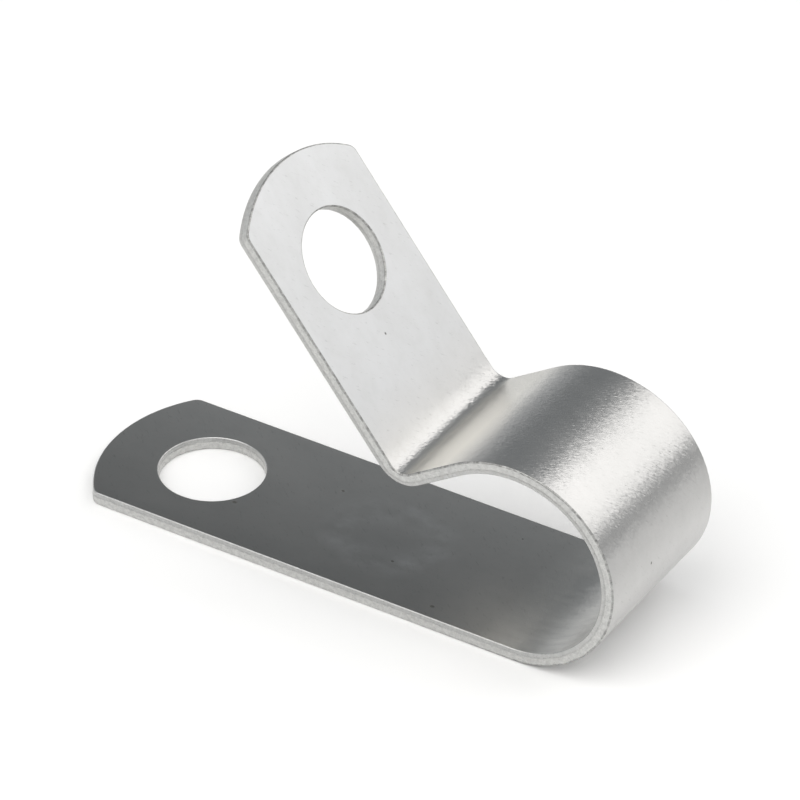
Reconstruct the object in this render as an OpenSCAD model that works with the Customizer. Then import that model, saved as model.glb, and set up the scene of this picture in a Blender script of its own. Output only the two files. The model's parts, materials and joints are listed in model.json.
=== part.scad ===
// Open aluminium P clip for a cable or a pipe. It is one strip of sheet metal: a flat leg, a loop rolled
// up and over, a short neck, a tight kink the other way, and a flat tab that stands open over the leg.
// Both ends of the strip are rounded and pierced with a screw hole. Closed, the tab lies on the leg and
// the two holes line up. The leg lies on Z = 0 along +X, and the origin is the centre of the leg's hole.

/* [Strip] */
// Width of the strip
strip_w = 12.7; // [10:0.1:16]
// Thickness of the sheet
sheet_t = 0.9; // [0.5:0.05:1.6]
// Radius of the rounded ends
end_r = 9.9; // [8.2:0.1:14]
// Radius of the corners between a rounded end and the strip's long edges
corner_r = 0.8; // [0.2:0.1:2]

/* [Screw holes] */
// Diameter of the screw holes
hole_d = 7.1; // [4:0.1:8]
// From the tip of an end to the centre of its hole
hole_in = 7.5; // [6:0.1:9]

/* [Leg] */
// From the tip of the leg to the start of the loop
leg_len = 34; // [28:0.1:60]

/* [Loop] */
// Inside radius of the loop
loop_r = 6.5; // [4:0.1:10]
// Angle that the loop turns through
loop_a = 159.6; // [150:0.1:180]
// Inside radius of the crown, where the loop opens out
crown_r = 6.9; // [5:0.1:12]
// Angle that the crown turns through
crown_a = 52.8; // [30:0.1:60]

/* [Neck and kink] */
// Length of the flat neck between the crown and the kink
neck_len = 3.8; // [1:0.1:8]
// Inside radius of the kink
kink_r = 1.1; // [0.2:0.1:2]
// Angle that the kink turns back through
kink_a = 83.8; // [40:0.1:110]

/* [Tab] */
// From the kink to the tip of the tab
tab_len = 19.4; // [17:0.1:30]

/* [Hidden] */
// Centre of a corner's arc, measured from the tip
corner_x = end_r - sqrt(pow(end_r - corner_r, 2) - pow(strip_w / 2 - corner_r, 2));
corner_y = strip_w / 2 - corner_r;
// Half of the angle that a rounded end spans
end_a = atan2(corner_y, end_r - corner_x);
// How far a cut runs past what it cuts
over = 1;
// What a corner's arc has over the tangent one, so that it meets both edges cleanly
hair = 0.003;
// How much of a bend is drawn from each of its ends
reach = 0.6;
// How far a bend and the length of strip before it run into each other
lap = 0.2;

$fn = 96;

// What is cut away to round a corner
module corner_cut() {
    translate([corner_x, corner_y]) difference() {
        polygon([[0, 0], [0, 2 * corner_r], 4 * corner_r * [cos(135 - end_a / 2), sin(135 - end_a / 2)],
            2 * corner_r * [-cos(end_a), sin(end_a)]]);
        circle(r = corner_r + hair);
    }
}

// Plan of a strip end, with its tip at x = 0
module end_plan(len) {
    difference() {
        union() {
            intersection() {
                translate([end_r, 0]) circle(r = end_r);
                translate([-over, -strip_w / 2]) square([end_r + 2 * over, strip_w]);
            }
            translate([end_r, -strip_w / 2]) square([len - end_r, strip_w]);
        }
        corner_cut();
        mirror([0, 1]) corner_cut();
    }
}

// Flat end of the strip with its screw hole
module pierced_end(len) {
    difference() {
        linear_extrude(sheet_t) end_plan(len);
        translate([hole_in, 0, -over]) cylinder(d = hole_d, h = sheet_t + 2 * over);
    }
}

// Turns the strip over, so that a bend in it runs downwards
module flip() {
    translate([0, 0, sheet_t]) mirror([0, 0, 1]) children();
}

// First part of a bend, round the centre of the bend. Inside the sheet a tongue reaches back into the strip
// before it, so that the two overlap and become one.
module arc(r, a) {
    rotate([90, 0, 0]) rotate(-90) rotate_extrude(angle = a)
        translate([r, -strip_w / 2]) square([sheet_t, strip_w]);
    translate([-lap, -strip_w / 4, -r - sheet_t * 2 / 3]) cube([2 * lap, strip_w / 2, sheet_t / 3]);
}

// Bend that turns the strip upwards by the angle a, with what follows it on the strip. It is drawn from
// both of its ends, past the middle, so that it runs on smoothly from the strip at either side.
module turn(r, a) {
    translate([0, 0, sheet_t + r]) {
        arc(r, reach * a);
        rotate([0, -a, 0]) {
            mirror([1, 0, 0]) arc(r, reach * a);
            translate([0, 0, -sheet_t - r]) children();
        }
    }
}

// Flat length of the strip, with what follows it
module straight(len) {
    translate([0, -strip_w / 2, 0]) cube([len, strip_w, sheet_t]);
    translate([len, 0, 0]) children();
}

// The whole clip, followed along the strip from the tip of the leg to the tip of the tab
module clip() {
    color([0.78, 0.79, 0.79]) translate([-hole_in, 0, 0]) {
        pierced_end(leg_len);
        translate([leg_len, 0, 0])
            turn(loop_r, loop_a)
                turn(crown_r, crown_a)
                    straight(neck_len)
                        flip() turn(kink_r, kink_a) flip()
                            translate([tab_len, 0, 0]) mirror([1, 0, 0]) pierced_end(tab_len);
    }
}

clip();
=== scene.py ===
"""An open aluminium P clip on a pale floor.

The clip is a pierced strip of rolled sheet with sheared edges, bent into a loop. Places on it are given
along the strip from the leg's tip, across it from its middle, and through the sheet from the side that
the leg lies on. Lengths are millimetres until the mesh is written, and metres in the studio.
"""

import json
import math

import bmesh
import bpy
import numpy as np
from mathutils import Matrix, Vector


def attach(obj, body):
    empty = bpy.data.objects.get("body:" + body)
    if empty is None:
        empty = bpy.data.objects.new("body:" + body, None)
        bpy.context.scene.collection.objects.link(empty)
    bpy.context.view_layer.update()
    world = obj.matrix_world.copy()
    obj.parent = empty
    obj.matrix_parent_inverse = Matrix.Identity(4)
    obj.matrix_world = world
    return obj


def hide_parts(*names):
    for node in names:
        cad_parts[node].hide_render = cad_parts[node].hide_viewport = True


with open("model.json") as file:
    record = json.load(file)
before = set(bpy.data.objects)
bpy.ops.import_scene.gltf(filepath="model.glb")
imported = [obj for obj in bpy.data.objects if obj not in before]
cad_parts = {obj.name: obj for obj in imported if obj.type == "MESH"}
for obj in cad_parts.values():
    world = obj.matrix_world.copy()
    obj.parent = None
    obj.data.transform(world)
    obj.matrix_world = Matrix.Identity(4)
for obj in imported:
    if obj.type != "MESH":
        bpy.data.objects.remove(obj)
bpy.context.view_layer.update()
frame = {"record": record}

MM = 0.001

# Sizes of the strip, with angles in degrees. What the record states comes from its mounts.
MOUNTS = {m["name"]: m for m in frame["record"]["mounts"]}
SHEET_T = MOUNTS["leg_hole"]["dims"]["length_mm"]
HOLE_R = MOUNTS["leg_hole"]["dims"]["r_mm"]
LOOP_R = MOUNTS["cable_loop"]["dims"]["r_mm"]
STRIP_W = MOUNTS["cable_loop"]["dims"]["length_mm"]
HOLE_IN = 7.5
LEG_LEN = MOUNTS["cable_loop"]["pos_m"][0] / MM + HOLE_IN
END_R = 9.9
CORNER_R = 0.8
LOOP_A = 159.6
CROWN_R = 6.9
CROWN_A = 52.8
NECK_LEN = 3.8
KINK_R = 1.1
KINK_A = 83.8
TAB_LEN = 19.4

# Cut edges. The shears round both rims, and leave a step from which the rest of the cut leans back.
EDGE_R = 0.09
CUT_LEAN = 16
LOWER_RIM_A = (0, 22, 45, 67, 90)
UPPER_RIM_A = (CUT_LEAN, 35, 55, 72, 90)
STEP_FROM = 0.56  # the step's heights are shares of the thickness
STEP_MID = 0.62
STEP_TO = 0.66
STEP_NORMAL = (0.9, 0.43)
STEP_IN = 0.012
TOP_IN = 0.02

# The kink squeezes metal out sideways on its inside and draws it in on its outside.
FLARE_OUT = 0.07
FLARE_FALL = 0.13  # what the flare loses from one side of the sheet to the other
FLARE_REACH = 0.9
FLARE_POWER = 10  # how close it keeps to the strip's edges
# How far the shading of the kink runs out into the tab, and how many headings are averaged for it
KINK_SOFT = 0.8
SOFT_SAMPLES = 15

# Fineness of the mesh
BEND_ROWS = (72, 22, 20, 28)  # loop, crown, neck and kink
TAB_ROWS = 8
TAB_ROW_STEP = 0.15
COLUMNS = 12
TIP_STEPS = 40
CORNER_STEPS = 12
HOLE_STEPS = 112

# Small dark specks: place along and across the strip, and radius
SPECKS = (
    (16.1, 2.5, 0.11),
    (28.8, 4.2, 0.07),
    (22.9, -2.4, 0.10),
    (27.6, -5.2, 0.14),
    (10.75, -2.35, 0.15),
    (45.0, -1.5, 0.08),
    (72.7, -0.4, 0.075),
)
SPECK_STRETCH = 1.3  # length of a speck over its width
SPECK_DEPTH = 0.00001  # depths of relief are in metres
# Faint ring on the leg: its centre, and its radii along and across the strip
SMEAR = (21.4, -0.2, 4.2, 3.6)
# The grain's angle to the strip
GRAIN_TURN = math.radians(-40)

# How strongly each mark changes the colour at most
STAIN_SHARE = 0.25
MOTTLE_SHARE = 0.16
# Painted shade: how much a band round the loop is darkened
DARK_BAND_SHARE = 0.16
# Painted shade on the leg's upper side, strongest at its front
FRONT_SHADE_SHARE = 0.33
SCUFF_SHARE = 0.16
SMEAR_SHARE = 0.40
SPECK_SHARE = 0.8
NECK_LIGHT_BACK_SHARE = 0.55  # what is left of the neck's painted light at its back
# How far the grain tips the surface: streaks, fine grain, and the fine grain's cube for its glints
STREAK_LEAN = 0.046
FINE_LEAN = 0.028
GLINT_LEAN = 0.13
FLAT_LEAN = 0.1  # share of it on the flats
CREASE_LEAN = 2.8  # what the kink multiplies it by
AFTER_CREASE = 0.36
ROUGHNESS = (0.33, 0.37)

# Noise patterns of the rolled faces. Those named for streaks, grain and scuffs follow the grain.
STREAKS = {"scale": (1.5, 7.0, 0.5), "detail": 2.0, "rough": 0.6}
FINE_GRAIN = {"scale": (4.0, 14.0, 0.5), "offset": (3, 7, 0), "detail": 2.0, "rough": 0.6}
SCUFFS = {"scale": (1.6, 6.0, 0.5), "offset": (8, 5, 3), "detail": 3.0, "rough": 0.65}
STAINS = {"scale": (0.16, 0.30, 1.0), "offset": (11, 4, 2), "detail": 4.0, "rough": 0.6, "distortion": 0.4}
CLOUDS = {"scale": (0.45, 0.60, 1.0), "offset": (4, 1, 8), "detail": 5.0, "rough": 0.6}
MOTTLE = {"scale": (0.9, 1.2, 1.0), "offset": (7, 3, 5), "detail": 5.0, "rough": 0.65}
# Patches of the painted light inside the loop
CURL_LIGHT_PATCHES = {"scale": (0.4, 1.4, 1.0), "offset": (2, 6, 1), "detail": 3.0, "rough": 0.6}
# Noise patterns of the cut faces, along the cut, in from it and through the sheet
WANDER = {"scale": (1.3, 0.0, 0.0)}
DRAWN_LINES = {"scale": (5.0, 1.0, 0.9), "rough": 0.6}
TORN_GRAINS = {"scale": (3.2, 3.2, 4.0), "offset": (5, 1, 3), "detail": 2.0, "rough": 0.6}
SEAM_PATCHES = {"scale": (2.2, 0.0, 0.0), "offset": (9, 2, 0), "detail": 4.0, "rough": 0.8}
PITS = {"scale": (9.0, 9.0, 11.0), "offset": (1, 8, 2), "detail": 1.0}
LOWER_LINE_NOISE = {"scale": (2.5, 2.5, 0.0), "offset": (6, 4, 9), "detail": 4.0, "rough": 0.75}
TORN_DEPTH = 0.00003
DRAWN_DEPTH = 0.000006

# Colours of the metal
LEG_COLOUR = (0.612, 0.604, 0.588, 1)
LOOP_COLOUR = (0.608, 0.603, 0.595, 1)
TAB_COLOUR = (0.616, 0.622, 0.629, 1)
STAIN_COLOUR = (0.54, 0.54, 0.53, 1)
MOTTLE_COLOUR = (0.47, 0.47, 0.46, 1)
# Painted light on the neck and on the inside of the loop
NECK_LIGHT_COLOUR = (0.97, 0.948, 0.885, 1)
CURL_LIGHT_COLOUR = (0.95, 0.94, 0.91, 1)
SMEAR_COLOUR = (0.85, 0.85, 0.85, 1)
SPECK_COLOUR = (0.10, 0.10, 0.09, 1)
SMOOTH_COLOURS = ((0.50, 0.50, 0.49, 1), (0.58, 0.58, 0.57, 1))
TORN_COLOURS = ((0.54, 0.54, 0.53, 1), (0.65, 0.65, 0.635, 1))
PIT_COLOUR = (0.26, 0.26, 0.25, 1)
LOWER_LINE_COLOUR = (0.15, 0.15, 0.145, 1)
SEAM_COLOUR = (0.20, 0.20, 0.19, 1)

# Studio
FLOOR_HALF = 2.5
FLOOR_Z = -0.00002
FLOOR_COLOUR = (0.925, 0.925, 0.925, 1)
FLOOR_ROUGHNESS = 0.9
FLOOR_SPECULAR = 0.1
SKY_COLOUR = (0.93, 1.0, 1.05, 1)
SKY_STRENGTH = 0.183
LIT_POINT = (0.014, 0.0, 0.008)
WARM = (1.0, 0.985, 0.965)
WHITE = (1.0, 1.0, 1.0)
# Soft lights: name, direction from the clip, distance, size, power and colour
LIGHTS = (
    ("key", (0.417, 0.70, 0.574), 1.0, (0.895, 1.2), 4.95, (1.0, 0.981, 0.962)),
    ("front", (-0.25, -0.57, 0.78), 0.45, (0.5, 0.5), 1.12, WARM),
    ("top", (0.20, -0.24, 0.95), 0.42, (0.60, 0.56), 1.20, WARM),
    ("right", (0.80, -0.50, 0.33), 0.35, (0.36, 0.36), 0.30, WARM),
    ("left", (-0.93, -0.12, 0.33), 0.5, (0.30, 0.50), 0.3, WHITE),
    ("sweep", (-0.70, 0.70, 0.14), 0.4, (0.127, 0.40), 0.055, WHITE),
)
# Camera, fitted to the photograph's edges
CAMERA_AZ = 30.965
CAMERA_EL = 34.976
CAMERA_ROLL = 0.774
CAMERA_AIM = (0.014370, 0.0, 0.011833)
CAMERA_DISTANCE = 0.409072
FOCAL_PX = 6384.27
IMAGE_PX = 800
SENSOR_MM = 36.0
CLIP_RANGE = (0.01, 20)


class Strip:
    """The middle line of the sheet in side view: flats and bends, from the leg's tip to the tab's."""

    def __init__(self):
        half = SHEET_T / 2
        self.parts = []  # start along the strip, length, x, z, heading, signed radius of the middle line
        u, x, z, h = 0.0, -HOLE_IN, half, 0.0
        for length, radius, angle in (
            (LEG_LEN, 0, 0),
            (0, LOOP_R + half, LOOP_A),
            (0, CROWN_R + half, CROWN_A),
            (NECK_LEN, 0, 0),
            (0, -KINK_R - half, -KINK_A),
            (TAB_LEN, 0, 0),
        ):
            turn = math.radians(angle)
            if radius:
                length = radius * turn
            self.parts.append((u, length, x, z, h, radius))
            if radius:
                x += radius * (math.sin(h + turn) - math.sin(h))
                z -= radius * (math.cos(h + turn) - math.cos(h))
            else:
                x += length * math.cos(h)
                z += length * math.sin(h)
            u += length
            h += turn
        self.length = u

    def starts(self):
        """Where the leg, loop, crown, neck, kink and tab start."""
        return [part[0] for part in self.parts]

    def rows(self):
        """Where the mesh has a line across the strip, from the end of the leg to just inside the tab."""
        out = []
        for (u, length, *_), steps in zip(self.parts[1:-1], BEND_ROWS):
            out += [u + length * i / steps for i in range(steps)]
        tab_u = self.parts[-1][0]
        return np.array(out + [tab_u + TAB_ROW_STEP * i for i in range(TAB_ROWS)])

    def place(self, u):
        """Points on the middle line and the headings there."""
        starts = np.array(self.starts())
        k = np.clip(np.searchsorted(starts, u, side="right") - 1, 0, len(starts) - 1)
        u0, _, x0, z0, h0, r = np.array(self.parts).T[:, k]
        bent = np.abs(r) > 0
        safe = np.where(bent, r, 1.0)
        h = np.where(bent, h0 + (u - u0) / safe, h0)
        x = np.where(bent, x0 + safe * (np.sin(h) - np.sin(h0)), x0 + (u - u0) * np.cos(h0))
        z = np.where(bent, z0 - safe * (np.cos(h) - np.cos(h0)), z0 + (u - u0) * np.sin(h0))
        return x, z, h


def rim_profile():
    """Section of a cut edge, from the lower rim to the upper one.

    Each row is the inset from the cut, the height through the sheet, and the outward and upward parts of
    the normal.
    """
    r, t = EDGE_R, SHEET_T
    lean = math.radians(CUT_LEAN)
    rows = []
    for a in np.radians(LOWER_RIM_A):
        rows.append((r - r * math.sin(a), r - r * math.cos(a), math.sin(a), -math.cos(a)))
    rows.append((0.0, STEP_FROM * t, 1.0, 0.0))
    rows.append((STEP_IN, STEP_MID * t, *STEP_NORMAL))
    rows.append((STEP_IN, STEP_TO * t, math.cos(lean), math.sin(lean)))
    for a in np.radians(UPPER_RIM_A):
        rows.append((TOP_IN + r - r * math.cos(a), t - r + r * math.sin(a), math.cos(a), math.sin(a)))
    return np.array(rows)


def arc(cx, cy, r, a, b, steps):
    """Points of an arc and the directions from its centre."""
    t = np.radians(np.linspace(a, b, steps))
    n = np.stack([np.cos(t), np.sin(t)], 1)
    return np.concatenate([np.array([cx, cy]) + r * n, n], 1)


def front_outline(strip):
    """Half of the blank's outline, along its front edge from the leg's tip to the tab's.

    Returns its points with their outward normals, the number of points at a tip, and the number of rows.
    """
    half = STRIP_W / 2
    cy = half - CORNER_R
    cx = END_R - math.sqrt((END_R - CORNER_R) ** 2 - cy**2)
    span = math.degrees(math.atan2(cy, END_R - cx))
    end = arc(END_R, 0, END_R, 180, 180 + span, TIP_STEPS)
    corner = arc(cx, -cy, CORNER_R, 180 + span, 270, CORNER_STEPS)
    tip = np.concatenate([end[:-1], corner])
    rows = strip.rows()
    n = len(rows)
    edge = np.stack([rows, np.full(n, -half), np.zeros(n), np.full(n, -1.0)], 1)
    far = tip[::-1].copy()
    far[:, 0] = strip.length - far[:, 0]
    far[:, 2] *= -1
    return np.concatenate([tip, edge, far]), len(tip), n


def mirrored(points):
    """The same outline along the back edge, without the two tips."""
    out = points[1:-1][::-1].copy()
    out[:, [1, 3]] *= -1
    return out


def hole_outline(u, towards):
    """A hole as points and normals out of the metal, from the side of the loop and first along the front."""
    turn = np.radians(np.arange(HOLE_STEPS) * 360 / HOLE_STEPS)
    radial = np.stack([towards * np.cos(turn), -np.sin(turn)], 1)
    return np.concatenate([np.array([u, 0]) + HOLE_R * radial, -radial], 1)


class Sheet:
    """Collects the flat blank: vertices with their normals and places on a cut edge, and faces."""

    def __init__(self):
        self.at = []
        self.normal = []
        self.rim = []
        self.faces = []
        self.cut = []

    def add(self, at, normal, rim=(0, 0, 0)):
        """A vertex, by its place on the strip, its normal there, and its place on a cut edge."""
        self.at.append(at)
        self.normal.append(normal)
        self.rim.append(rim)
        return len(self.at) - 1

    def face(self, loop, cut):
        """A face, which is part of a cut edge or of a broad side."""
        self.faces.append(list(loop))
        self.cut.append(cut)

    def edge_ring(self, outline):
        """Walls of one closed outline. Returns the vertices of its lower and of its upper rim."""
        profile = rim_profile()
        gaps = np.diff(outline[:, :2], axis=0, append=outline[:1, :2])
        along = np.concatenate([[0], np.cumsum(np.linalg.norm(gaps, axis=1))[:-1]])
        grid = []
        for (u, v, nu, nv), s in zip(outline, along):
            column = []
            for inset, w, out, up in profile:
                at = (u - nu * inset, v - nv * inset, w)
                column.append(self.add(at, (nu * out, nv * out, up), (s, inset, w)))
            grid.append(column)
        for a, b in zip(grid, grid[1:] + grid[:1]):
            for j in range(len(profile) - 1):
                self.face((a[j], b[j], b[j + 1], a[j + 1]), True)
        return [column[0] for column in grid], [column[-1] for column in grid]

    def flat_side(self, strip, outer, holes, w, n_tip, n_rows):
        """One broad side: rows of quads over the bends, and two plates round the hole at each end."""
        up = (0, 0, 1.0 if w > 0 else -1.0)
        n_front = 2 * n_tip + n_rows
        front = outer[:n_front]
        back = [outer[0]] + outer[n_front:][::-1] + [outer[n_front - 1]]
        grid = []
        for i, u in enumerate(strip.rows(), n_tip):
            v0, v1 = self.at[front[i]][1], self.at[back[i]][1]
            inner = [self.add((u, v0 + (v1 - v0) * k / COLUMNS, w), up) for k in range(1, COLUMNS)]
            grid.append([front[i], *inner, back[i]])
        for a, b in zip(grid, grid[1:]):
            for k in range(COLUMNS):
                self.face((a[k], b[k], b[k + 1], a[k + 1]), False)
        mid = COLUMNS // 2
        last = n_tip + n_rows - 1
        ends = (
            (holes[0], grid[0], front[: n_tip + 1], back[: n_tip + 1]),
            (holes[1], grid[-1], front[last:][::-1], back[last:][::-1]),
        )
        for hole, row, front_end, back_end in ends:
            around = hole + hole[:1]
            opposite = len(hole) // 2
            self.face(front_end + row[1 : mid + 1] + around[: opposite + 1], False)
            self.face(back_end + row[-2 : mid - 1 : -1] + around[: opposite - 1 : -1], False)


def build_clip():
    """The clip as one mesh: a blank with sheared edges, bent along its middle line."""
    strip, sheet = Strip(), Sheet()
    front, n_tip, n_rows = front_outline(strip)
    outer = sheet.edge_ring(np.concatenate([front, mirrored(front)]))
    near = sheet.edge_ring(hole_outline(HOLE_IN, 1))
    far = sheet.edge_ring(hole_outline(strip.length - HOLE_IN, -1))
    for side, w in ((0, 0.0), (1, SHEET_T)):
        sheet.flat_side(strip, outer[side], (near[side], far[side]), w, n_tip, n_rows)

    at = np.array(sheet.at)
    u, v, w = at.T
    kink_u, kink_len = strip.parts[4][:2]
    kink_mid = kink_u + kink_len / 2
    near_kink = np.exp(-(((u - kink_mid) / FLARE_REACH) ** 2))
    near_edge = np.abs(v / (STRIP_W / 2)) ** FLARE_POWER
    v = v + np.sign(v) * near_edge * near_kink * (FLARE_OUT - FLARE_FALL * w / SHEET_T)
    x, z, h = strip.place(u)
    lift = w - SHEET_T / 2
    co = np.stack([x - lift * np.sin(h), v, z + lift * np.cos(h)], 1) * MM

    nu, nv, nw = np.array(sheet.normal).T
    offsets = np.linspace(-KINK_SOFT, KINK_SOFT, SOFT_SAMPLES)
    soft = np.mean([strip.place(u + d)[2] for d in offsets], axis=0)
    h_n = np.where(u > kink_mid, soft, h)
    x_n = nu * np.cos(h_n) - nw * np.sin(h_n)
    z_n = nu * np.sin(h_n) + nw * np.cos(h_n)
    normals = np.stack([x_n, nv, z_n], 1)
    normals /= np.linalg.norm(normals, axis=1, keepdims=True)

    mesh = bpy.data.meshes.new("clip_sheet")
    mesh.from_pydata(co.tolist(), [], sheet.faces)
    bm = bmesh.new()
    bm.from_mesh(mesh)
    bmesh.ops.recalc_face_normals(bm, faces=bm.faces)
    bm.to_mesh(mesh)
    bm.free()
    mesh.polygons.foreach_set("material_index", [int(c) for c in sheet.cut])
    along = np.stack([np.cos(h), np.zeros(len(h)), np.sin(h)], 1)
    for name, values in (("strip", at), ("rim", np.array(sheet.rim)), ("along", along)):
        attribute = mesh.attributes.new(name, "FLOAT_VECTOR", "POINT")
        attribute.data.foreach_set("vector", values.astype(np.float32).ravel())
    mesh.shade_smooth()
    mesh.normals_split_custom_set_from_vertices([Vector(n) for n in normals])
    obj = bpy.data.objects.new("clip_sheet", mesh)
    bpy.context.scene.collection.objects.link(obj)
    return obj


class Nodes:
    """Short way to write a material's node tree. A value is a number, a colour or another node's socket."""

    def __init__(self, name):
        self.material = bpy.data.materials.new(name)
        self.material.use_nodes = True
        self.tree = self.material.node_tree
        self.shader = self.tree.nodes["Principled BSDF"]

    def node(self, kind, inputs=(), **settings):
        n = self.tree.nodes.new(kind)
        for key, value in settings.items():
            setattr(n, key, value)
        for key, value in dict(inputs).items():
            if isinstance(value, bpy.types.NodeSocket):
                self.tree.links.new(value, n.inputs[key])
            else:
                n.inputs[key].default_value = value
        return n

    def attribute(self, name):
        return self.node("ShaderNodeAttribute", attribute_name=name).outputs["Vector"]

    def separate(self, vector):
        return self.node("ShaderNodeSeparateXYZ", {0: vector}).outputs

    def scaled(self, vector, scale, offset=(0, 0, 0)):
        inputs = {"Vector": vector, "Scale": scale, "Location": offset}
        return self.node("ShaderNodeMapping", inputs).outputs[0]

    def turned(self, vector, angle):
        inputs = {"Vector": vector, "Rotation": (0, 0, angle)}
        return self.node("ShaderNodeMapping", inputs).outputs[0]

    def noise(self, vector, scale, offset=(0, 0, 0), detail=3.0, rough=0.55, distortion=0.0):
        inputs = {
            "Vector": self.scaled(vector, scale, offset),
            "Scale": 1.0,
            "Detail": detail,
            "Roughness": rough,
            "Distortion": distortion,
        }
        return self.node("ShaderNodeTexNoise", inputs).outputs["Fac"]

    def ranged(self, value, low, high, to_low, to_high):
        inputs = {"Value": value, "From Min": low, "From Max": high, "To Min": to_low, "To Max": to_high}
        return self.node("ShaderNodeMapRange", inputs).outputs[0]

    def math(self, operation, a, b):
        return self.node("ShaderNodeMath", {0: a, 1: b}, operation=operation).outputs[0]

    def times(self, a, b):
        return self.math("MULTIPLY", a, b)

    def plus(self, a, b):
        return self.math("ADD", a, b)

    def band(self, value, rise, fall):
        """1 between a rising and a falling ramp, each given by its two ends, and 0 outside them."""
        return self.times(self.ranged(value, *rise, 0.0, 1.0), self.ranged(value, *fall, 1.0, 0.0))

    def vector(self, operation, a, b):
        """Vector arithmetic. For SCALE, b is a number."""
        second = 3 if operation == "SCALE" else 1
        return self.node("ShaderNodeVectorMath", {0: a, second: b}, operation=operation).outputs[0]

    def distance(self, vector, u, v, ru, rv):
        """How far a place on the strip lies from a point, in shares of the radii along and across."""
        at = self.scaled(vector, (1 / ru, 1 / rv, 0), (-u / ru, -v / rv, 0))
        return self.node("ShaderNodeVectorMath", {0: at}, operation="LENGTH").outputs["Value"]

    def darkened(self, colour, share):
        return self.vector("SCALE", colour, self.math("SUBTRACT", 1.0, share))

    def mixed(self, factor, a, b):
        inputs = {0: factor, 6: a, 7: b}  # the sockets of a colour mix
        return self.node("ShaderNodeMix", inputs, data_type="RGBA").outputs[2]

    def bump(self, height, distance, strength, normal=None):
        inputs = {"Height": height, "Distance": distance, "Strength": strength}
        if normal is not None:
            inputs["Normal"] = normal
        return self.node("ShaderNodeBump", inputs).outputs[0]

    def link(self, value, socket):
        self.tree.links.new(value, self.shader.inputs[socket])


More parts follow.
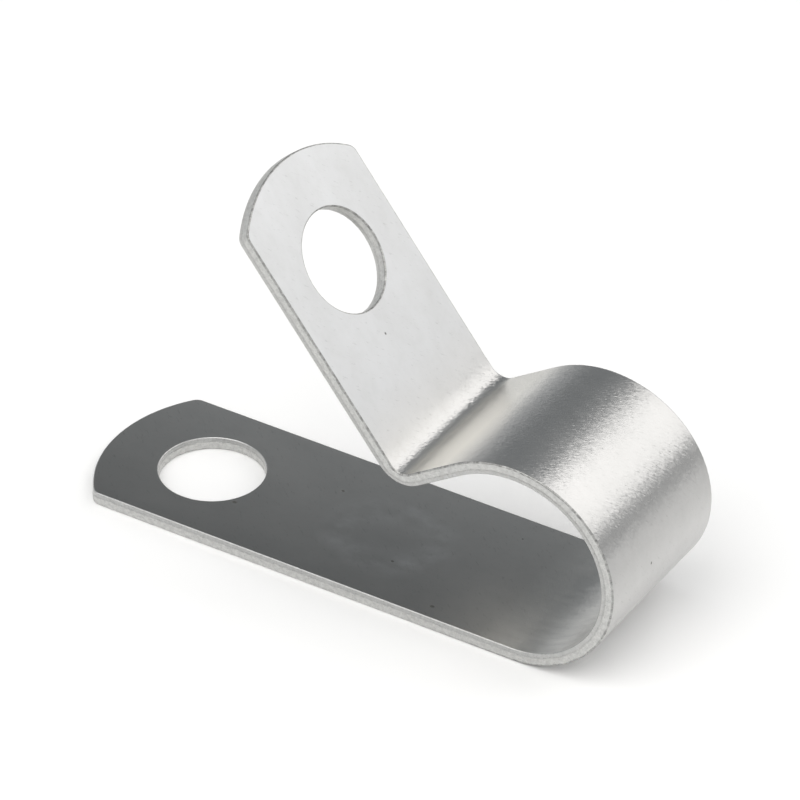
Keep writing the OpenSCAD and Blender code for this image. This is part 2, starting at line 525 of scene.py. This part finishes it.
def rolled_face():
    """Mill finish: fine grain where the sheet is bent, faint stains, a smear on the leg, and dark specks,
    with painted light on the neck and inside the loop and painted shade on the leg and the loop.
    """
    m = Nodes("rolled_aluminium")
    m.shader.inputs["Metallic"].default_value = 1.0
    strip = m.attribute("strip")
    along, across, through = m.separate(strip)
    inner = m.ranged(through, 0.0, SHEET_T, 0.0, 1.0)  # 1 on the leg's upper side and the loop's inside
    loop_u, crown_u, neck_u, kink_u, tab_u = Strip().starts()[1:]
    grain = m.turned(strip, -GRAIN_TURN)
    fine = m.noise(grain, **FINE_GRAIN)
    stain = m.noise(strip, **STAINS)
    speck = 0.0
    for u, v, r in SPECKS:
        spot = m.distance(strip, u, v, SPECK_STRETCH * r, r)
        speck = m.math("MAXIMUM", speck, m.ranged(spot, 0.6, 1.2, 1.0, 0.0))

    # The colour is a little warm. The tab is painted cooler, a painted light colour for the cool light it
    # reflects. Stains, mottle and scuffs dull it in places.
    base = m.mixed(m.ranged(along, loop_u, loop_u + 8, 0.0, 1.0), LEG_COLOUR, LOOP_COLOUR)
    base = m.mixed(m.ranged(along, tab_u, tab_u + 4, 0.0, 1.0), base, TAB_COLOUR)
    base = m.mixed(m.ranged(stain, 0.35, 0.7, 0.0, STAIN_SHARE), base, STAIN_COLOUR)
    base = m.mixed(m.ranged(m.noise(strip, **MOTTLE), 0.45, 0.70, 0.0, MOTTLE_SHARE), base, MOTTLE_COLOUR)
    # Painted shade: a band round the loop is darkened to deepen the dark reflection there.
    painted_dark_band = m.band(along, (loop_u + 10.4, loop_u + 12.5), (loop_u + 14.8, loop_u + 15.8))
    base = m.darkened(base, m.times(painted_dark_band, DARK_BAND_SHARE))
    # Painted shade: the leg's upper side is painted darker towards its front, standing in for the light
    # falling off there.
    front_shade = m.ranged(across, -STRIP_W / 2, STRIP_W / 2, FRONT_SHADE_SHARE, 0.0)
    base = m.darkened(base, m.times(front_shade, inner))
    base = m.darkened(base, m.ranged(m.noise(grain, **SCUFFS), 0.61, 0.72, 0.0, SCUFF_SHARE))
    # Painted light: the neck is painted lighter for the tab's light that it reflects, and the inside of the
    # loop is painted lighter too.
    neck = m.band(along, (neck_u - 1.4, neck_u + 1.0), (kink_u + 0.2, kink_u + 0.9))
    neck = m.times(neck, m.ranged(across, -STRIP_W / 4, STRIP_W / 2, 1.0, NECK_LIGHT_BACK_SHARE))
    base = m.mixed(neck, base, NECK_LIGHT_COLOUR)
    # Painted light: the inside of the loop and the end of the leg before it are painted lighter, in patches.
    curl_light = m.times(m.band(along, (loop_u - 2.5, loop_u + 5.0), (crown_u, neck_u)), inner)
    curl_light = m.times(curl_light, m.ranged(m.noise(strip, **CURL_LIGHT_PATCHES), 0.3, 0.7, 0.6, 1.0))
    base = m.mixed(curl_light, base, CURL_LIGHT_COLOUR)
    smear = m.band(m.distance(strip, *SMEAR), (0.25, 0.8), (0.8, 1.25))
    smear = m.times(smear, m.ranged(m.noise(strip, **CLOUDS), 0.40, 0.70, 0.0, SMEAR_SHARE))
    base = m.mixed(m.times(smear, inner), base, SMEAR_COLOUR)
    m.link(m.mixed(m.times(speck, SPECK_SHARE), base, SPECK_COLOUR), "Base Color")

    rough = m.plus(m.ranged(fine, 0.25, 0.75, *ROUGHNESS), m.ranged(stain, 0.3, 0.75, -0.02, 0.03))
    m.link(m.plus(rough, m.times(speck, 0.2)), "Roughness")

    # The grain tips the surface along the strip: hardly on the flats, fully on the bends, most in the kink.
    into_loop = m.ranged(along, loop_u - 3, loop_u + 1, FLAT_LEAN, 1.0)
    into_tab = m.ranged(along, tab_u, tab_u + 1.5, 1.0, FLAT_LEAN)
    into_kink = m.ranged(along, kink_u, kink_u + 0.6, 1.0, CREASE_LEAN)
    out_of_kink = m.ranged(along, tab_u - 0.4, tab_u + 0.4, 1.0, AFTER_CREASE)
    bent = m.times(m.times(into_loop, into_tab), m.times(into_kink, out_of_kink))
    spread = m.ranged(fine, 0.3, 0.7, -1.0, 1.0)
    glint = m.times(m.times(spread, spread), m.times(spread, GLINT_LEAN))
    streak = m.ranged(m.noise(grain, **STREAKS), 0.3, 0.7, -STREAK_LEAN, STREAK_LEAN)
    lean = m.plus(streak, m.plus(m.times(spread, FINE_LEAN), glint))
    tilt = m.vector("SCALE", m.attribute("along"), m.times(lean, bent))
    face_normal = m.node("ShaderNodeNewGeometry").outputs["Normal"]
    normal = m.vector("NORMALIZE", m.vector("ADD", face_normal, tilt), (0, 0, 0))
    m.link(m.bump(m.times(speck, -1.0), SPECK_DEPTH, 1.0, normal), "Normal")
    return m.material


def sheared_edge():
    """Cut face: a smooth band with drawn lines next to the upper rim, then a torn, grainy one."""
    m = Nodes("sheared_aluminium")
    m.shader.inputs["Metallic"].default_value = 1.0
    rim = m.attribute("rim")
    height = m.ranged(m.separate(rim)[2], 0.0, SHEET_T, 0.0, 1.0)
    wander = m.plus(height, m.ranged(m.noise(rim, **WANDER), 0.2, 0.8, -0.08, 0.08))
    torn = m.ranged(wander, 0.60, 0.68, 1.0, 0.0)
    drawn = m.noise(rim, **DRAWN_LINES)
    grains = m.noise(rim, **TORN_GRAINS)

    smooth_base = m.mixed(m.ranged(drawn, 0.3, 0.7, 0.0, 1.0), *SMOOTH_COLOURS)
    torn_base = m.mixed(m.ranged(grains, 0.36, 0.64, 0.0, 1.0), *TORN_COLOURS)
    base = m.mixed(torn, smooth_base, torn_base)
    base = m.mixed(m.ranged(m.noise(rim, **PITS), 0.60, 0.70, 0.0, 0.4), base, PIT_COLOUR)
    # A broken dark line along the lower rim, left off the leg.
    lower_line = m.ranged(m.noise(rim, **LOWER_LINE_NOISE), 0.35, 0.65, 0.1, 0.8)
    along = m.separate(m.attribute("strip"))[0]
    lower_line = m.times(lower_line, m.ranged(along, LEG_LEN - 8, LEG_LEN, 0.0, 1.0))
    base = m.mixed(m.times(m.ranged(wander, 0.10, 0.16, 1.0, 0.0), lower_line), base, LOWER_LINE_COLOUR)
    # A broken dark seam between the two bands
    seam = m.band(wander, (0.58, 0.66), (0.66, 0.75))
    patchy = m.ranged(m.noise(rim, **SEAM_PATCHES), 0.42, 0.68, 0.0, 0.55)
    m.link(m.mixed(m.times(seam, patchy), base, SEAM_COLOUR), "Base Color")

    m.link(m.ranged(torn, 0.0, 1.0, 0.40, 0.55), "Roughness")
    normal = m.bump(m.times(grains, torn), TORN_DEPTH, 0.6)
    m.link(m.bump(drawn, DRAWN_DEPTH, 0.7, normal), "Normal")
    return m.material


def placed(name, data, origin, right, up, back):
    """An object at a place, with its own three axes."""
    obj = bpy.data.objects.new(name, data)
    obj.matrix_world = Matrix.Translation(origin) @ Matrix((right, up, back)).transposed().to_4x4()
    bpy.context.scene.collection.objects.link(obj)
    return obj


def softbox(name, direction, distance, size, power, colour):
    """A soft area light that faces the clip."""
    data = bpy.data.lights.new(name, "AREA")
    data.shape = "RECTANGLE"
    data.size, data.size_y = size
    data.energy = power
    data.color = colour
    back = Vector(direction).normalized()
    right = Vector((0, 1, 0)).cross(back).normalized()
    placed(name, data, Vector(LIT_POINT) + back * distance, right, back.cross(right), back)


def floor():
    """A wide pale floor just under the leg."""
    mesh = bpy.data.meshes.new("floor")
    s, z = FLOOR_HALF, FLOOR_Z
    mesh.from_pydata([(-s, -s, z), (s, -s, z), (s, s, z), (-s, s, z)], [], [(0, 1, 2, 3)])
    obj = bpy.data.objects.new("floor", mesh)
    bpy.context.scene.collection.objects.link(obj)
    paper = Nodes("floor_paper")
    paper.shader.inputs["Base Color"].default_value = FLOOR_COLOUR
    paper.shader.inputs["Roughness"].default_value = FLOOR_ROUGHNESS
    paper.shader.inputs["Specular IOR Level"].default_value = FLOOR_SPECULAR
    mesh.materials.append(paper.material)


def sky():
    """A dim, even sky that fills the shadows."""
    world = bpy.data.worlds.new("studio")
    world.use_nodes = True
    background = world.node_tree.nodes["Background"]
    background.inputs["Color"].default_value = SKY_COLOUR
    background.inputs["Strength"].default_value = SKY_STRENGTH
    bpy.context.scene.world = world


def camera():
    """The camera at the photograph's viewing angle."""
    az, el, roll = (math.radians(a) for a in (CAMERA_AZ, CAMERA_EL, CAMERA_ROLL))
    back = Vector((math.sin(az) * math.cos(el), -math.cos(az) * math.cos(el), math.sin(el)))
    level = Vector((math.cos(az), math.sin(az), 0))
    upright = back.cross(level)
    right = math.cos(roll) * level + math.sin(roll) * upright
    up = -math.sin(roll) * level + math.cos(roll) * upright
    data = bpy.data.cameras.new("camera")
    data.sensor_width = SENSOR_MM
    data.lens = FOCAL_PX / IMAGE_PX * SENSOR_MM
    data.clip_start, data.clip_end = CLIP_RANGE
    eye = Vector(CAMERA_AIM) + back * CAMERA_DISTANCE
    bpy.context.scene.camera = placed("camera", data, eye, right, up, back)


bpy.context.scene.view_settings.view_transform = "Standard"
clip = build_clip()
clip.data.materials.append(rolled_face())
clip.data.materials.append(sheared_edge())
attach(clip, "root")
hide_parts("clip")
floor()
sky()
for light in LIGHTS:
    softbox(*light)
camera()
